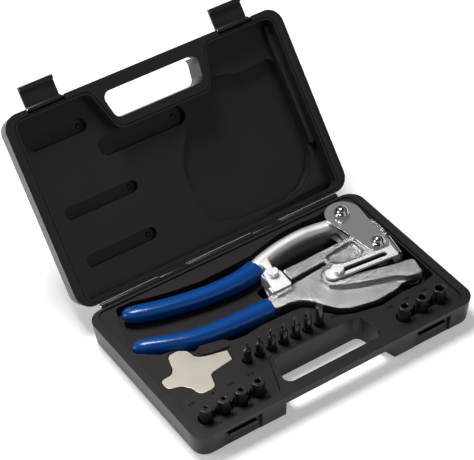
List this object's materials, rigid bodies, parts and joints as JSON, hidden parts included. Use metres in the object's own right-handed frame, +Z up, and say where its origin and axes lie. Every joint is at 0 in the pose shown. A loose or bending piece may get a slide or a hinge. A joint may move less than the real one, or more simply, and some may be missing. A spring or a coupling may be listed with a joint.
{
  "type": "hand hole punch kit",
  "caption": "Compound-lever hand punch for leather and thin sheet, with stepped punches, dies and key, stored in a hinged moulded case.",
  "frame": {"origin": "centre of the case base's underside", "axes": "+X along the case's length to the right, +Y from the latch side to the hinge side, +Z up"},
  "size_m": [0.29, 0.3205, 0.1795],
  "materials": {
    "case_black": "satin moulded, fine grain",
    "insert_black": "satin moulded sheet",
    "cast_nickel": "nickel plated over a rough casting",
    "polished_nickel": "polished nickel plate",
    "bright_steel": "bright turned steel",
    "black_oxide": "black oxide",
    "key_nickel": "nickel plated flat stock",
    "blue_vinyl": "glossy dipped vinyl"
  },
  "bodies": {
    "case_base": {"base_shell": "case_black", "tool_tray": "insert_black", "hinge_pin": "bright_steel"},
    "case_lid": {"lid_shell": "case_black", "lid_liner": "insert_black", "latch_pins": "bright_steel"},
    "left_latch": {"latch_left": "case_black"},
    "right_latch": {"latch_right": "case_black"},
    "tool": {"frame_casting": "cast_nickel", "lower_grip": "blue_vinyl", "side_plate_top": "polished_nickel", "side_plate_bottom": "polished_nickel", "handle_bolt": "polished_nickel", "rocker_bolt": "polished_nickel", "acorn_nuts": "polished_nickel", "handle_bracket": "polished_nickel", "bracket_bolt": "polished_nickel", "bracket_nut": "polished_nickel"},
    "handle": {"upper_handle": "polished_nickel", "upper_grip": "blue_vinyl"},
    "rocker_arm": {"rocker": "cast_nickel"},
    "punch_ram": {"ram": "polished_nickel"},
    "gauge": {"gauge_bar": "polished_nickel"},
    "clamp_screw": {"gauge_screw": "polished_nickel"},
    "key": {"die_key": "key_nickel"},
    "punch_1_body": {"punch_1": "black_oxide"},
    "punch_2_body": {"punch_2": "black_oxide"},
    "punch_3_body": {"punch_3": "black_oxide"},
    "punch_4_body": {"punch_4": "black_oxide"},
    "punch_5_body": {"punch_5": "black_oxide"},
    "punch_6_body": {"punch_6": "black_oxide"},
    "punch_7_body": {"punch_7": "black_oxide"},
    "die_1_body": {"die_1": "black_oxide"},
    "die_2_body": {"die_2": "black_oxide"},
    "die_3_body": {"die_3": "black_oxide"},
    "die_4_body": {"die_4": "black_oxide"},
    "die_5_body": {"die_5": "black_oxide"},
    "die_6_body": {"die_6": "black_oxide"},
    "die_7_body": {"die_7": "black_oxide"}
  },
  "joints": [
    {"name": "lid_hinge", "type": "hinge", "parent": "case_base", "child": "case_lid", "pos_m": [0, 0.0937, 0.0247], "axis": [-1, 0, 0], "range_deg": [-129, 0]},
    {"name": "left_latch_hinge", "type": "hinge", "parent": "case_lid", "child": "left_latch", "pos_m": [-0.10025, 0.21318, 0.16304], "axis": [-1, 0, 0], "range_deg": [-90, 0]},
    {"name": "right_latch_hinge", "type": "hinge", "parent": "case_lid", "child": "right_latch", "pos_m": [0.09725, 0.21318, 0.16304], "axis": [-1, 0, 0], "range_deg": [-90, 0]},
    {"name": "tool_lift", "type": "slide", "parent": "case_base", "child": "tool", "axis": [0, 0, 1], "range_m": [0, 0.06]},
    {"name": "handle_pivot", "type": "hinge", "parent": "tool", "child": "handle", "pos_m": [0.109, 0.0605, 0.025], "axis": [0, 0, 1], "range_deg": [0, 4]},
    {"name": "rocker_pivot", "type": "hinge", "parent": "tool", "child": "rocker_arm", "pos_m": [0.1115, 0.009, 0.025], "axis": [0, 0, 1], "range_deg": [-3.4, 0]},
    {"name": "ram_stroke", "type": "slide", "parent": "tool", "child": "punch_ram", "axis": [-0.2079, -0.9781, 0], "range_m": [0, 0.00081]},
    {"name": "gauge_slide", "type": "slide", "parent": "tool", "child": "gauge", "axis": [0.994, -0.1097, 0], "range_m": [-0.035, 0]},
    {"name": "clamp_screw_turn", "type": "hinge", "parent": "tool", "child": "clamp_screw", "pos_m": [0.059, -0.002, 0.025], "axis": [0, 0, 1], "range_deg": [0, 360]},
    {"name": "key_lift", "type": "slide", "parent": "case_base", "child": "key", "axis": [0, 0, 1], "range_m": [0, 0.03]},
    {"name": "punch_1_lift", "type": "slide", "parent": "case_base", "child": "punch_1_body", "axis": [0, 0, 1], "range_m": [0, 0.035]},
    {"name": "punch_2_lift", "type": "slide", "parent": "case_base", "child": "punch_2_body", "axis": [0, 0, 1], "range_m": [0, 0.035]},
    {"name": "punch_3_lift", "type": "slide", "parent": "case_base", "child": "punch_3_body", "axis": [0, 0, 1], "range_m": [0, 0.035]},
    {"name": "punch_4_lift", "type": "slide", "parent": "case_base", "child": "punch_4_body", "axis": [0, 0, 1], "range_m": [0, 0.035]},
    {"name": "punch_5_lift", "type": "slide", "parent": "case_base", "child": "punch_5_body", "axis": [0, 0, 1], "range_m": [0, 0.035]},
    {"name": "punch_6_lift", "type": "slide", "parent": "case_base", "child": "punch_6_body", "axis": [0, 0, 1], "range_m": [0, 0.035]},
    {"name": "punch_7_lift", "type": "slide", "parent": "case_base", "child": "punch_7_body", "axis": [0, 0, 1], "range_m": [0, 0.035]},
    {"name": "die_1_lift", "type": "slide", "parent": "case_base", "child": "die_1_body", "axis": [0, 0, 1], "range_m": [0, 0.025]},
    {"name": "die_2_lift", "type": "slide", "parent": "case_base", "child": "die_2_body", "axis": [0, 0, 1], "range_m": [0, 0.025]},
    {"name": "die_3_lift", "type": "slide", "parent": "case_base", "child": "die_3_body", "axis": [0, 0, 1], "range_m": [0, 0.025]},
    {"name": "die_4_lift", "type": "slide", "parent": "case_base", "child": "die_4_body", "axis": [0, 0, 1], "range_m": [0, 0.025]},
    {"name": "die_5_lift", "type": "slide", "parent": "case_base", "child": "die_5_body", "axis": [0, 0, 1], "range_m": [0, 0.025]},
    {"name": "die_6_lift", "type": "slide", "parent": "case_base", "child": "die_6_body", "axis": [0, 0, 1], "range_m": [0, 0.025]},
    {"name": "die_7_lift", "type": "slide", "parent": "case_base", "child": "die_7_body", "axis": [0, 0, 1], "range_m": [0, 0.025]}
  ],
  "couplings": [
    {"joint": "rocker_pivot", "follows": "handle_pivot", "ratio": -0.85},
    {"joint": "ram_stroke", "follows": "handle_pivot", "m_per_rad": 0.01146}
  ]
}
